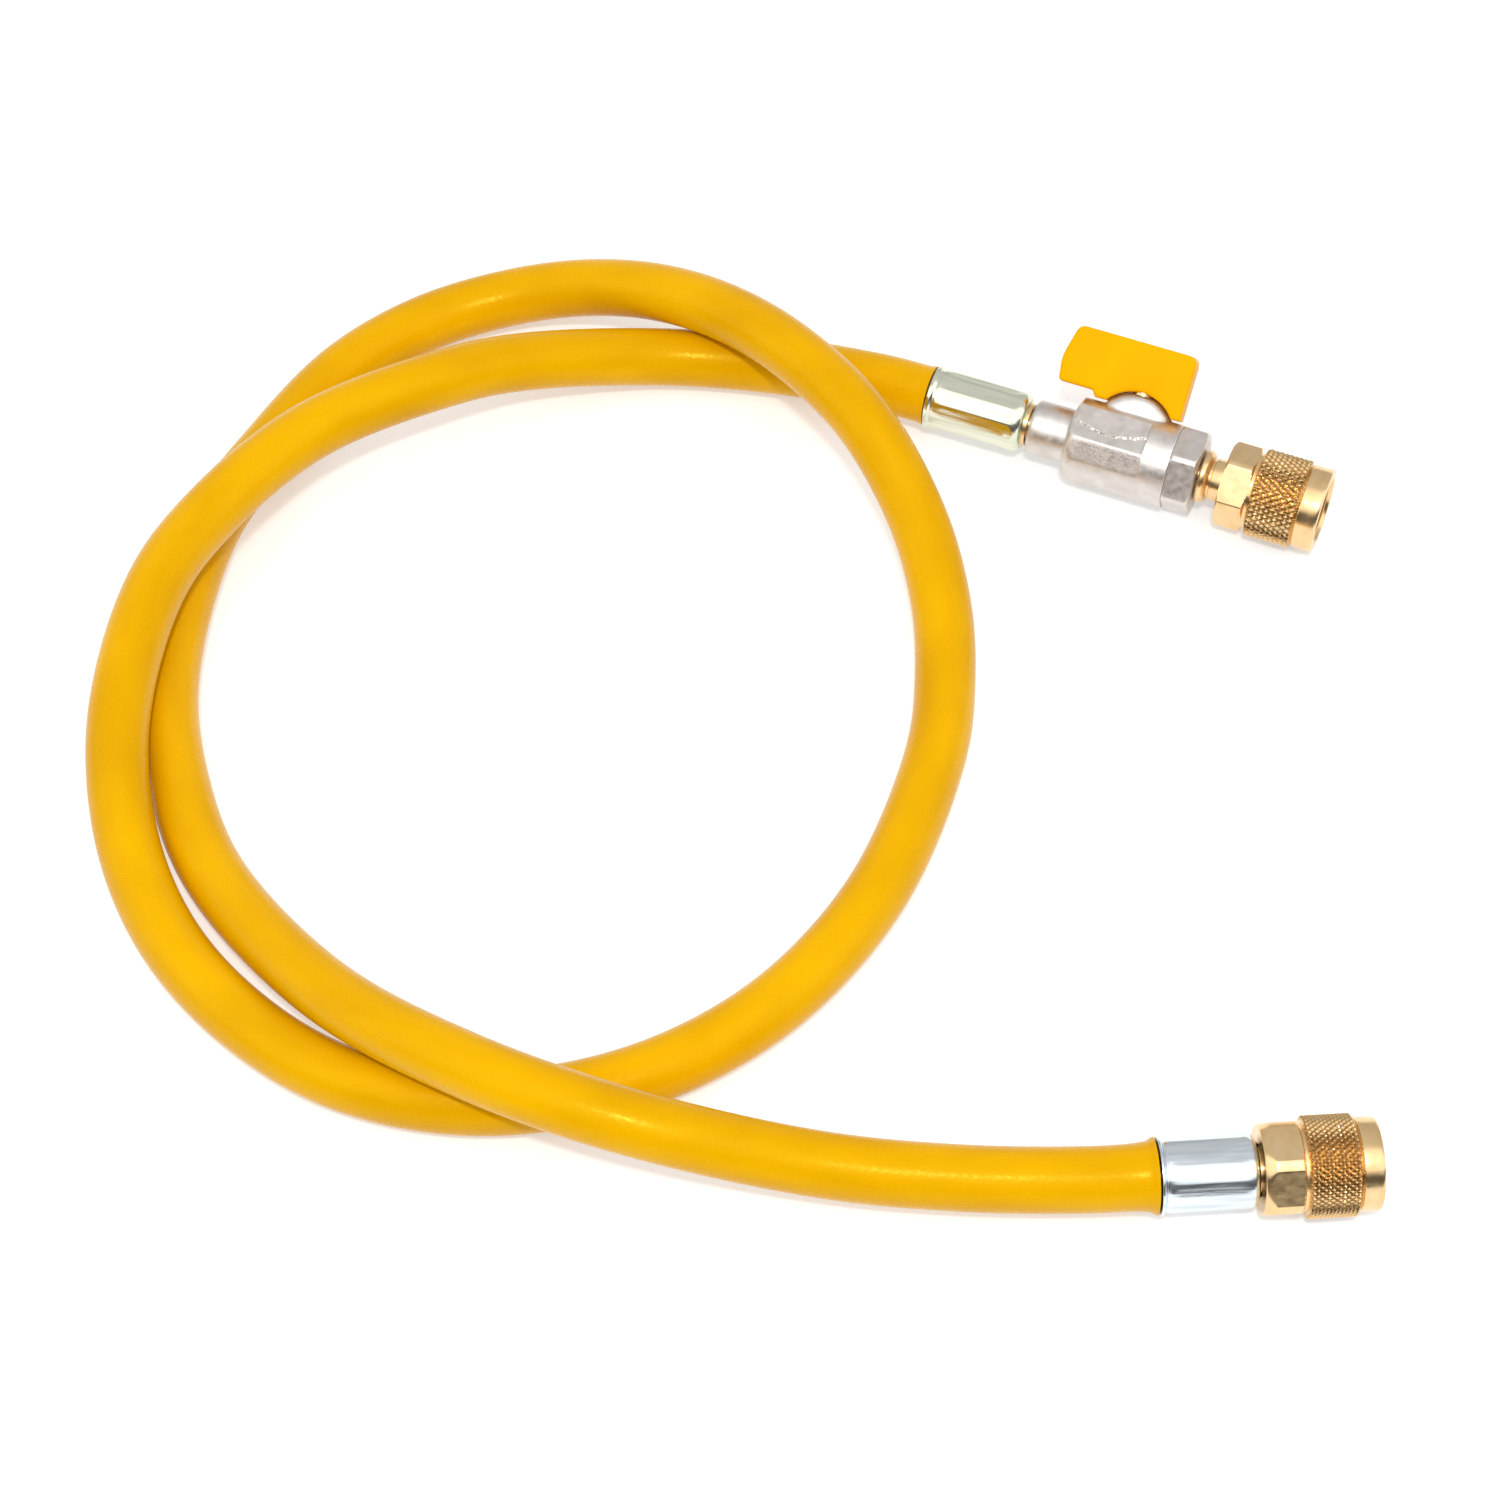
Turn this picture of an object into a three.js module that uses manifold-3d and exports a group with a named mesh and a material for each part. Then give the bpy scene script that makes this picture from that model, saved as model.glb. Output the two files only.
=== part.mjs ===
// Refrigerant charging hose: a yellow hose with a small ball valve on one end
// and a swivel nut on each end, lying loosely coiled on a level floor.
// Millimetres, +Z up. The origin is on the floor, at the middle of the box round the end fittings.
import * as THREE from "three";
import { mergeVertices } from "three/addons/utils/BufferGeometryUtils.js";
import Module from "manifold-3d";

const wasm = await Module();
wasm.setup();

// Clearances
const FACE_GAP = 0.3; // between two faces that touch on the real product
const RUNNING_GAP = 0.3; // round a turning piece, on the radius

// Hose and its passage
const HOSE_DIAMETER = 9.8;
const HOSE_SIDES = 10;
const HOSE_STEPS = 64;
const PASSAGE_RADIUS = 1.4; // through the tails and the nipple

// Swivel nuts: socket for a 7/16-20 flare fitting, the same in both
const SOCKET_RADIUS = 5.1;
const SOCKET_CHAMFER = 0.5;
const SOCKET_FLOOR = 4.4; // thickness of the nut's back wall
const MOUTH_ROUND = 0.4;
const NUT_A = {
  turn: 30.6, // the hexagon's turn round the pipe
  hexLength: 4.75,
  backCone: 0.4,
  backRadius: 6.6,
  flats: 12.7,
  barRadius: 7.1,
  bevel: 0.5,
  bevelRadius: 6.7,
  knurlLength: 8,
  knurlRadius: 7.4,
  collarLength: 3.7,
  collarRadius: 7,
};
const NUT_B = {
  turn: -4.2,
  hexLength: 5.8,
  backCone: 1.6,
  backRadius: 6.5,
  flats: 13.2,
  barRadius: 7.2,
  bevel: 0.5,
  bevelRadius: 6.7,
  knurlLength: 7.6,
  knurlRadius: 7.5,
  collarLength: 3.3,
  collarRadius: 6.85,
};

// Neck, flange and spigot that carry a nut and its seal
const NECK_RADIUS = 3.55;
const FLANGE_THICKNESS = 2;
const FLANGE_RADIUS = 4.7;
const SPIGOT_RADIUS = 1.95;
const SEAL_THICKNESS = 1.6;
const SEAL_RADIUS = 4.4;

// Hose tails
const BARB_RADIUS = 2.3;
const TAIL_COLLAR_RADIUS = 3.6;

// Ferrules
const FERRULE_NOSE = 1.2;
const FERRULE_RIM_LENGTH = 0.8;
const FERRULE_SOCKET = 2; // depth of the wide mouth at the nose, round the tail's collar
const FERRULE_A = { length: 16.8, radius: 5.05, rimRadius: 5.4 };
const FERRULE_B = { length: 14.4, radius: 5.5, rimRadius: 5.8 };

// Ball valve, measured along the pipe from the stem's axis
const BODY_RADIUS = 7.05;
const BODY_START = -9.75;
const BODY_END = 8.1;
const SHOULDER = 1.6;
const PORT_LENGTH = 6.7;
const PORT_RADIUS = 4.6;
const PORT_CHAMFER = 0.5;
const PORT_SOCKET_DEPTH = 5.2;
const SHANK_RADIUS = 2.5;
const UPPER_FLAT = { angle: 33.5, distance: 6.2 };
const LOWER_FLAT = { angle: -12.5, distance: 6.85 };
const FLATS_END = 3.4;
const DOME_RADIUS = 6.75; // of the bonnet
const DOME_CENTRE = 3.2; // above the pipe's axis
const DOME_STEPS = 5;
const BONNET_RADIUS = 5.6;
const BONNET_HALF_WIDTH = 3;
const CHAMBER_RADIUS = 4.8;
const BALL_RADIUS = 4.4;
const BORE_RADIUS = 2.1;
const SEAT_THICKNESS = 0.9; // behind the ball's cap
const CAP_LENGTH = 4.3;
const CAP_FLATS = 13;
const CAP_CORNER_RADIUS = 7.3;
const CAP_CHAMFER = 0.5;
const CAP_TURN = -13; // the hexagon's turn round the pipe
const CAP_SPIGOT = 2.5;
const NIPPLE_SHANK = 3;
const NIPPLE_COLLAR = 1.6;
const NIPPLE_COLLAR_RADIUS = 4.5;
const NIPPLE_CHAMFER = 0.6;
const NIPPLE_GROOVE = 0.4;
const NIPPLE_GROOVE_RADIUS = 3.2;
const NIPPLE_NECK = 2; // from the groove to the nut's back

// Stem and handle
const STEM_RADIUS = 1.9;
const STEM_TOP = 14.6;
const TANG_WIDTH = 1.8;
const TANG_DEPTH = 1.2;
const HANDLE_THICKNESS = 5;
const HANDLE_EDGE = 0.5; // bevel round both faces
const HANDLE = {
  tail: -14.1,
  tailPoint: -14.7,
  tailPointHeight: 12.5,
  tailTop: -13.2,
  low: 8.5,
  high: 18.3,
  foot: 7.4,
  footWidth: 1.6,
  heel: 7.5,
  heelWidth: 1.95,
  heelRun: 0.6,
  corner: 1.5,
};

// Places on the floor
const VALVE_AT = [-0.13, 61.6];
const VALVE_HEADING = -21.4; // degrees, from the hose towards the nut
const STEM_LEAN = -49; // the stem's turn about the pipe, away from upright
const END_AT = [-3.92, -73.98]; // the hose end of the second ferrule
const END_HEADING = 3.8;
const AXIS_HEIGHT_A = NUT_A.knurlRadius;
const AXIS_HEIGHT_B = NUT_B.knurlRadius;

const ROUND = 24; // facets of a turned piece
const FULL = 2 * Math.PI;
const rad = THREE.MathUtils.degToRad;

// Turned solid about X from [x, radius] points. An outline with a bore closes on itself.
function turned(outline, facets = ROUND) {
  const open = outline[0][1] === 0;
  const points = outline.map(([x, r]) => new THREE.Vector2(r, x));
  if (!open) points.push(points[0].clone());
  const area = points.reduce((sum, p, i) => {
    const q = points[(i + 1) % points.length];
    return sum + p.x * q.y - q.x * p.y;
  }, 0);
  if (area < 0) points.reverse();
  return new THREE.LatheGeometry(points, facets).rotateZ(-Math.PI / 2);
}

// Prism along X with an outline in (y, z), from x to x + length
function prism(outline, x, length) {
  const shape = new THREE.Shape(outline.map(([y, z]) => new THREE.Vector2(y, z)));
  const geometry = new THREE.ExtrudeGeometry(shape, { depth: length, bevelEnabled: false });
  return geometry.rotateX(Math.PI / 2).rotateZ(Math.PI / 2).translate(x, 0, 0);
}

function hexagon(flats, turn = 0) {
  const radius = flats / 2 / Math.cos(Math.PI / 6);
  return Array.from({ length: 6 }, (_, i) => {
    const a = rad(60 * i + turn);
    return [radius * Math.cos(a), radius * Math.sin(a)];
  });
}

function solid(geometry) {
  const plain = geometry.clone();
  plain.deleteAttribute("normal");
  plain.deleteAttribute("uv");
  const merged = mergeVertices(plain, 1e-4);
  return new wasm.Manifold(
    new wasm.Mesh({
      numProp: 3,
      vertProperties: merged.attributes.position.array,
      triVerts: new Uint32Array(merged.index.array),
    }),
  );
}

function geometryOf(manifold) {
  const mesh = manifold.getMesh();
  const geometry = new THREE.BufferGeometry();
  geometry.setAttribute("position", new THREE.BufferAttribute(mesh.vertProperties, 3));
  geometry.setIndex(new THREE.BufferAttribute(mesh.triVerts, 1));
  geometry.computeVertexNormals();
  return geometry;
}

const join = (first, ...rest) => rest.reduce((sum, g) => sum.add(solid(g)), solid(first));
const cut = (body, ...tools) => tools.reduce((left, g) => left.subtract(solid(g)), body);

// Materials
const look = (color, roughness, metalness) =>
  new THREE.MeshStandardMaterial({ color, roughness, metalness });
const yellowRubber = look(0xf0b202, 0.35, 0);
const yellowPlastic = look(0xffbd10, 0.4, 0);
const nickel = look(0xc9c2bb, 0.45, 1);
const brass = look(0xd9a95c, 0.3, 1);
const zinc = look(0xd4dadd, 0.2, 1);
const blackRubber = look(0x1c1c1c, 0.7, 0);
const whiteSeat = look(0xf2f0ea, 0.5, 0);

function piece(name, geometry, material) {
  const mesh = new THREE.Mesh(geometry, material);
  mesh.name = name;
  return mesh;
}

const nutLength = (n) => n.hexLength + n.bevel + n.knurlLength + n.collarLength;

// Swivel nut with its back at x = 0 and its mouth at x = length
function nut(n) {
  const length = nutLength(n);
  const knurlStart = n.hexLength + n.bevel;
  const collarStart = knurlStart + n.knurlLength;
  const blank = [
    [0, 0],
    [0, n.backRadius],
    [n.backCone, n.barRadius],
    [n.hexLength, n.barRadius],
    [n.hexLength, 0],
  ];
  const head = solid(turned(blank)).intersect(solid(prism(hexagon(n.flats, n.turn), 0, n.hexLength)));
  const front = [
    [n.hexLength - n.bevel, 0],
    [n.hexLength - n.bevel, n.flats / 2 - n.bevel],
    [n.hexLength, n.bevelRadius - n.bevel / 2],
    [knurlStart, n.bevelRadius],
    [knurlStart, n.knurlRadius - n.bevel / 2],
    [knurlStart + n.bevel / 2, n.knurlRadius],
    [collarStart - n.bevel / 2, n.knurlRadius],
    [collarStart, n.knurlRadius - n.bevel / 2],
    [collarStart, n.collarRadius],
    [length - MOUTH_ROUND, n.collarRadius],
    [length, n.collarRadius - MOUTH_ROUND],
    [length, 0],
  ];
  const past = FACE_GAP;
  const hollow = [
    [-past, 0],
    [-past, NECK_RADIUS + RUNNING_GAP],
    [SOCKET_FLOOR, NECK_RADIUS + RUNNING_GAP],
    [SOCKET_FLOOR, SOCKET_RADIUS],
    [length - SOCKET_CHAMFER, SOCKET_RADIUS],
    [length, SOCKET_RADIUS + SOCKET_CHAMFER],
    [length + past, SOCKET_RADIUS + SOCKET_CHAMFER],
    [length + past, 0],
  ];
  return geometryOf(cut(head.add(solid(turned(front))), turned(hollow)));
}

// Outline points of the neck, flange and spigot that carry a nut whose back is at x
function swivelEnd(x) {
  const flange = x + SOCKET_FLOOR + FACE_GAP;
  const front = flange + FLANGE_THICKNESS;
  const tip = front + FACE_GAP + SEAL_THICKNESS;
  return [
    [flange, NECK_RADIUS],
    [flange, FLANGE_RADIUS],
    [front, FLANGE_RADIUS],
    [front, SPIGOT_RADIUS],
    [tip, SPIGOT_RADIUS],
    [tip, PASSAGE_RADIUS],
  ];
}

function seal(x) {
  const back = x + SOCKET_FLOOR + FLANGE_THICKNESS + 2 * FACE_GAP;
  return turned([
    [back, SPIGOT_RADIUS + FACE_GAP],
    [back, SEAL_RADIUS],
    [back + SEAL_THICKNESS, SEAL_RADIUS],
    [back + SEAL_THICKNESS, SPIGOT_RADIUS + FACE_GAP],
  ]);
}

// Crimped ferrule with its hose end at x = 0; collarRadius is the tail's
function ferrule(f, collarRadius) {
  const mouth = f.length - FERRULE_SOCKET;
  return turned([
    [0, BARB_RADIUS + FACE_GAP],
    [0, f.rimRadius],
    [FERRULE_RIM_LENGTH, f.rimRadius],
    [FERRULE_RIM_LENGTH, f.radius],
    [f.length - FERRULE_NOSE, f.radius],
    [f.length - FERRULE_NOSE / 3, f.radius - FERRULE_NOSE / 3],
    [f.length, f.radius - FERRULE_NOSE],
    [f.length, collarRadius + FACE_GAP],
    [mouth, collarRadius + FACE_GAP],
    [mouth, BARB_RADIUS + FACE_GAP],
  ]);
}

// Places along the valve's pipe, from the stem's axis
const PORT_START = BODY_START - PORT_LENGTH;
const FERRULE_A_END = PORT_START - 3 * FACE_GAP;
const FERRULE_A_START = FERRULE_A_END - FERRULE_A.length;
const SEAT_BACK = BALL_RADIUS + SEAT_THICKNESS;
const CHAMBER_END = SEAT_BACK + FACE_GAP;
const CAP_END = BODY_END + FACE_GAP + CAP_LENGTH;
const COLLAR_START = CAP_END + FACE_GAP;
const GROOVE_START = COLLAR_START + NIPPLE_COLLAR;
const NUT_A_BACK = GROOVE_START + NIPPLE_GROOVE + NIPPLE_NECK;
const BONNET_TOP = DOME_CENTRE + DOME_RADIUS;

// Hose tail in the valve's port
function tailA() {
  const barbEnd = FERRULE_A_END - FERRULE_SOCKET + FACE_GAP;
  const shankEnd = PORT_START + PORT_SOCKET_DEPTH - FACE_GAP;
  return turned([
    [FERRULE_A_START, PASSAGE_RADIUS],
    [FERRULE_A_START, BARB_RADIUS],
    [barbEnd, BARB_RADIUS],
    [barbEnd, TAIL_COLLAR_RADIUS],
    [PORT_START - FACE_GAP, TAIL_COLLAR_RADIUS],
    [PORT_START - FACE_GAP, SHANK_RADIUS],
    [shankEnd, SHANK_RADIUS],
    [shankEnd, PASSAGE_RADIUS],
  ]);
}

// Wrench flat: a slab that cuts the body down to one plane on both sides
function flatCutters(flat) {
  const depth = BODY_RADIUS;
  const width = 2 * BODY_RADIUS;
  const length = FLATS_END - BODY_START + FACE_GAP;
  const sides = [flat.angle, 180 - flat.angle];
  return sides.map((angle) =>
    new THREE.BoxGeometry(length, depth, width)
      .translate(FLATS_END - length / 2, flat.distance + depth / 2, 0)
      .rotateX(rad(180 - angle)),
  );
}

function valveBody() {
  const outside = turned([
    [PORT_START, 0],
    [PORT_START, PORT_RADIUS - PORT_CHAMFER],
    [PORT_START + PORT_CHAMFER, PORT_RADIUS],
    [BODY_START, PORT_RADIUS],
    [BODY_START, BODY_RADIUS - SHOULDER],
    [BODY_START + SHOULDER * 0.3, BODY_RADIUS - SHOULDER * 0.3],
    [BODY_START + SHOULDER, BODY_RADIUS],
    [BODY_END, BODY_RADIUS],
    [BODY_END, 0],
  ]);
  const domeStart = Math.acos(BONNET_RADIUS / DOME_RADIUS);
  const dome = Array.from({ length: DOME_STEPS }, (_, i) => {
    const a = domeStart + ((Math.PI / 2 - domeStart) * i) / DOME_STEPS;
    return [DOME_CENTRE + DOME_RADIUS * Math.sin(a), DOME_RADIUS * Math.cos(a)];
  });
  const boss = turned([[0, 0], [0, BONNET_RADIUS], ...dome, [BONNET_TOP, 0]]).rotateY(-Math.PI / 2);
  const slab = new THREE.BoxGeometry(3 * DOME_RADIUS, 2 * BONNET_HALF_WIDTH, 3 * BONNET_TOP);
  const bonnet = solid(boss).intersect(solid(slab));
  const hollow = turned([
    [PORT_START - FACE_GAP, 0],
    [PORT_START - FACE_GAP, SHANK_RADIUS + FACE_GAP],
    [PORT_START + PORT_SOCKET_DEPTH, SHANK_RADIUS + FACE_GAP],
    [PORT_START + PORT_SOCKET_DEPTH, BORE_RADIUS],
    [-CHAMBER_END, BORE_RADIUS],
    [-CHAMBER_END, CHAMBER_RADIUS],
    [BODY_END + FACE_GAP, CHAMBER_RADIUS],
    [BODY_END + FACE_GAP, 0],
  ]);
  const stemHole = turned([
    [0, 0],
    [0, STEM_RADIUS + RUNNING_GAP],
    [BONNET_TOP + FACE_GAP, STEM_RADIUS + RUNNING_GAP],
    [BONNET_TOP + FACE_GAP, 0],
  ]).rotateY(-Math.PI / 2);
  const flats = [...flatCutters(UPPER_FLAT), ...flatCutters(LOWER_FLAT)];
  const shell = cut(solid(outside), ...flats);
  return geometryOf(cut(shell.add(bonnet), hollow, stemHole));
}

function ball() {
  const sphere = new THREE.SphereGeometry(BALL_RADIUS, ROUND, ROUND / 2).rotateX(Math.PI / 2);
  const bore = turned([
    [-SEAT_BACK, 0],
    [-SEAT_BACK, BORE_RADIUS],
    [SEAT_BACK, BORE_RADIUS],
    [SEAT_BACK, 0],
  ]);
  const slotWidth = TANG_WIDTH + 2 * FACE_GAP;
  const slotDepth = TANG_DEPTH + FACE_GAP;
  const slot = new THREE.BoxGeometry(slotWidth, 2 * BALL_RADIUS, 2 * slotDepth).translate(0, 0, BALL_RADIUS);
  return geometryOf(cut(solid(sphere), bore, slot));
}

// Sealing ring with a face that follows the ball, towards +X
function seat() {
  const reach = BALL_RADIUS + RUNNING_GAP;
  const outer = CHAMBER_RADIUS - FACE_GAP;
  const radii = [BORE_RADIUS + FACE_GAP, 3, 3.6, outer - FACE_GAP];
  const face = radii.map((r) => [Math.sqrt(reach ** 2 - r ** 2), r]);
  return turned([...face, [face.at(-1)[0], outer], [SEAT_BACK, outer], [SEAT_BACK, radii[0]]]);
}

function stem() {
  const foot = BALL_RADIUS + FACE_GAP;
  const rod = turned([
    [foot, 0],
    [foot, STEM_RADIUS],
    [STEM_TOP, STEM_RADIUS],
    [STEM_TOP, 0],
  ]).rotateY(-Math.PI / 2);
  const tangHeight = TANG_DEPTH + 2 * FACE_GAP;
  const tang = new THREE.BoxGeometry(TANG_WIDTH, 2 * STEM_RADIUS * 0.8, tangHeight).translate(
    0,
    0,
    foot + FACE_GAP - tangHeight / 2,
  );
  return geometryOf(join(rod, tang));
}

// Flat lever, arched over the bonnet
function handle() {
  const h = HANDLE;
  const e = HANDLE_EDGE;
  const archRadius = DOME_RADIUS + RUNNING_GAP;
  const archX = (z) => Math.sqrt(archRadius ** 2 - (z - DOME_CENTRE) ** 2);
  const heelIn = -archX(h.heel);
  const heelOut = heelIn - h.heelWidth;
  const footIn = archX(h.foot);
  const nose = footIn + h.footWidth;
  const shape = new THREE.Shape();
  shape.moveTo(h.tail + e, h.low + e);
  shape.lineTo(heelOut - h.heelRun, h.low + e);
  shape.lineTo(heelOut, h.heel + e);
  shape.lineTo(heelIn - e, h.heel + e);
  const from = Math.atan2(h.heel - DOME_CENTRE, heelIn);
  const to = Math.atan2(h.foot - DOME_CENTRE, footIn);
  shape.absarc(0, DOME_CENTRE, archRadius + e, from, to, true);
  shape.lineTo(nose - e, h.foot + e);
  shape.lineTo(nose - e, h.high - h.corner);
  shape.absarc(nose - h.corner, h.high - h.corner, h.corner - e, 0, Math.PI / 2, false);
  shape.lineTo(h.tailTop + h.corner, h.high - e);
  shape.absarc(h.tailTop + h.corner, h.high - h.corner, h.corner - e, Math.PI / 2, Math.PI, false);
  shape.lineTo(h.tailPoint + e, h.tailPointHeight);
  const blade = new THREE.ExtrudeGeometry(shape, {
    depth: HANDLE_THICKNESS - 2 * e,
    bevelEnabled: true,
    bevelThickness: e,
    bevelSize: e,
    bevelSegments: 1,
    curveSegments: 6,
  })
    .translate(0, 0, e - HANDLE_THICKNESS / 2)
    .rotateX(Math.PI / 2);
  const hole = turned([
    [BONNET_TOP, 0],
    [BONNET_TOP, STEM_RADIUS + FACE_GAP],
    [STEM_TOP + FACE_GAP, STEM_RADIUS + FACE_GAP],
    [STEM_TOP + FACE_GAP, 0],
  ]).rotateY(-Math.PI / 2);
  return geometryOf(cut(solid(blade), hole));
}

function endCap() {
  const hexStart = BODY_END + FACE_GAP;
  const blank = turned([
    [hexStart, 0],
    [hexStart, CAP_CORNER_RADIUS],
    [CAP_END - CAP_CHAMFER, CAP_CORNER_RADIUS],
    [CAP_END, CAP_CORNER_RADIUS - CAP_CHAMFER],
    [CAP_END, 0],
  ]);
  const head = solid(blank).intersect(solid(prism(hexagon(CAP_FLATS, CAP_TURN), hexStart, CAP_LENGTH)));
  const spigot = turned([
    [CHAMBER_END, 0],
    [CHAMBER_END, CHAMBER_RADIUS - FACE_GAP],
    [hexStart + CAP_CHAMFER, CHAMBER_RADIUS - FACE_GAP],
    [hexStart + CAP_CHAMFER, 0],
  ]);
  const threadStart = CAP_END - NIPPLE_SHANK;
  const hollow = turned([
    [CHAMBER_END - FACE_GAP, 0],
    [CHAMBER_END - FACE_GAP, BORE_RADIUS],
    [threadStart, BORE_RADIUS],
    [threadStart, SHANK_RADIUS + FACE_GAP],
    [CAP_END + FACE_GAP, SHANK_RADIUS + FACE_GAP],
    [CAP_END + FACE_GAP, 0],
  ]);
  return geometryOf(cut(head.add(solid(spigot)), hollow));
}

function nipple() {
  const start = CAP_END - NIPPLE_SHANK + FACE_GAP;
  const r = NIPPLE_COLLAR_RADIUS;
  return turned([
    [start, PASSAGE_RADIUS],
    [start, SHANK_RADIUS],
    [COLLAR_START, SHANK_RADIUS],
    [COLLAR_START, r - NIPPLE_CHAMFER],
    [COLLAR_START + NIPPLE_CHAMFER, r],
    [GROOVE_START - NIPPLE_CHAMFER, r],
    [GROOVE_START, r - NIPPLE_CHAMFER],
    [GROOVE_START, NIPPLE_GROOVE_RADIUS],
    [GROOVE_START + NIPPLE_GROOVE, NIPPLE_GROOVE_RADIUS],
    [GROOVE_START + NIPPLE_GROOVE, NECK_RADIUS],
    ...swivelEnd(NUT_A_BACK),
  ]);
}

// Hose end fitting without a valve, with the ferrule's hose end at x = 0
const NUT_B_BACK = FERRULE_B.length + FACE_GAP;
function tailB() {
  const barbEnd = FERRULE_B.length - FERRULE_SOCKET + FACE_GAP;
  return turned([
    [0, PASSAGE_RADIUS],
    [0, BARB_RADIUS],
    [barbEnd, BARB_RADIUS],
    [barbEnd, NECK_RADIUS],
    ...swivelEnd(NUT_B_BACK),
  ]);
}

function upright(group, at, height, heading) {
  group.position.set(at[0], at[1], height);
  group.rotation.z = rad(heading);
  return group;
}

// Route of the hose's centreline from the valve's ferrule to the other one
const ROUTE = [
  [-41, 77.4, 7.2],
  [-58.5, 82.5, 5.7],
  [-78, 84.1, 6],
  [-101, 78.3, 11.2],
  [-112.5, 72.8, 13.8],
  [-134.6, 59.5, 15.5],
  [-150.6, 40.5, 15.5],
  [-157.3, 25.5, 15.4],
  [-160.6, 1, 12.4],
  [-156.7, -20, 6.8],
  [-145.6, -38.7, 5],
  [-125.5, -55, 5],
  [-103.5, -60.5, 5],
  [-81, -56.8, 5],
  [-60.5, -45, 5],
  [-44, -25, 5],
  [-33.5, 2, 5],
  [-31.5, 17, 5.3],
  [-31.9, 31.5, 6.9],
  [-35.5, 45.5, 10.9],
  [-43.7, 60.5, 16.4],
  [-54, 73.5, 17.4],
  [-65.5, 84.6, 15.8],
  [-78, 92.7, 12.7],
  [-91.5, 97.3, 8.8],
  [-105.5, 97.1, 6],
  [-119, 92.1, 5],
  [-131.3, 82, 5],
  [-142.3, 65.5, 5],
  [-151.1, 47.5, 5],
  [-155.1, 15.5, 5],
  [-150.6, -7, 5],
  [-143.8, -22, 5.5],
  [-125.5, -44.5, 10.5],
  [-105, -59.5, 15.4],
  [-82, -68.8, 15.3],
  [-53, -72.8, 9],
  [-32.5, -74.4, 7.7],
  [-14.5, -74.6, 7.5],
];

function hose(start, end) {
  const points = [start, ...ROUTE.map((p) => new THREE.Vector3(...p)), end];
  const section = new THREE.Shape(
    Array.from({ length: HOSE_SIDES }, (_, i) => {
      const a = (FULL * (i + 0.5)) / HOSE_SIDES;
      return new THREE.Vector2((HOSE_DIAMETER / 2) * Math.cos(a), (HOSE_DIAMETER / 2) * Math.sin(a));
    }),
  );
  return new THREE.ExtrudeGeometry(section, {
    steps: HOSE_STEPS,
    extrudePath: new THREE.CatmullRomCurve3(points),
  });
}

function placed(geometry, x) {
  return geometry.translate(x, 0, 0);
}

const valve = new THREE.Group();
valve.rotation.x = rad(STEM_LEAN);
valve.add(
  piece("ferrule_a", placed(ferrule(FERRULE_A, TAIL_COLLAR_RADIUS), FERRULE_A_START), zinc),
  piece("tail_a", tailA(), brass),
  piece("valve_body", valveBody(), nickel),
  piece("ball", ball(), nickel),
  piece("seat_inlet", seat().rotateZ(Math.PI), whiteSeat),
  piece("seat_outlet", seat(), whiteSeat),
  piece("stem", stem(), brass),
  piece("handle", handle(), yellowPlastic),
  piece("end_cap", endCap(), nickel),
  piece("nipple", nipple(), brass),
  piece("nut_a", placed(nut(NUT_A), NUT_A_BACK), brass),
  piece("seal_a", seal(NUT_A_BACK), blackRubber),
);
const valveEnd = upright(new THREE.Group(), VALVE_AT, AXIS_HEIGHT_A, VALVE_HEADING);
valveEnd.add(valve);

const freeEnd = upright(new THREE.Group(), END_AT, AXIS_HEIGHT_B, END_HEADING);
freeEnd.add(
  piece("ferrule_b", ferrule(FERRULE_B, NECK_RADIUS), zinc),
  piece("tail_b", tailB(), brass),
  piece("nut_b", placed(nut(NUT_B), NUT_B_BACK), brass),
  piece("seal_b", seal(NUT_B_BACK), blackRubber),
);

valveEnd.updateMatrixWorld(true);
freeEnd.updateMatrixWorld(true);
const hoseStart = valveEnd.localToWorld(new THREE.Vector3(FERRULE_A_START - FACE_GAP, 0, 0));
const hoseEnd = freeEnd.localToWorld(new THREE.Vector3(-FACE_GAP, 0, 0));

const chargingHose = new THREE.Group();
chargingHose.add(valveEnd, freeEnd, piece("hose", hose(hoseStart, hoseEnd), yellowRubber));

export default chargingHose;
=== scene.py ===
import math

import bpy
import numpy as np
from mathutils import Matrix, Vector


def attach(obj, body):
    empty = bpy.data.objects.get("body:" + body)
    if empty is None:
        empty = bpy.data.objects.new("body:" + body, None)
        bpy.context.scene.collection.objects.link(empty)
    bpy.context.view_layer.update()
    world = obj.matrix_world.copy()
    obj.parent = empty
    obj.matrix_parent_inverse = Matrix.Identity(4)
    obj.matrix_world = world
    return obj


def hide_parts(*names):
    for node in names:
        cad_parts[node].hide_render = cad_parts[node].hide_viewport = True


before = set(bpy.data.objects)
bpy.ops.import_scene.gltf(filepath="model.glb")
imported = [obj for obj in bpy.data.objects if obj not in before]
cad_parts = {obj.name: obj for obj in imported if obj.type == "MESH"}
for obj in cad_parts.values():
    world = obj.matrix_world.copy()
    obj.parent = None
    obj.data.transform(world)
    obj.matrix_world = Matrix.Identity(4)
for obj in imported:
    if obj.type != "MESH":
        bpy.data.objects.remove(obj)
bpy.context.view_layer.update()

MM = 0.001
scene = bpy.context.scene
scene.view_settings.view_transform = "Standard"

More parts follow.
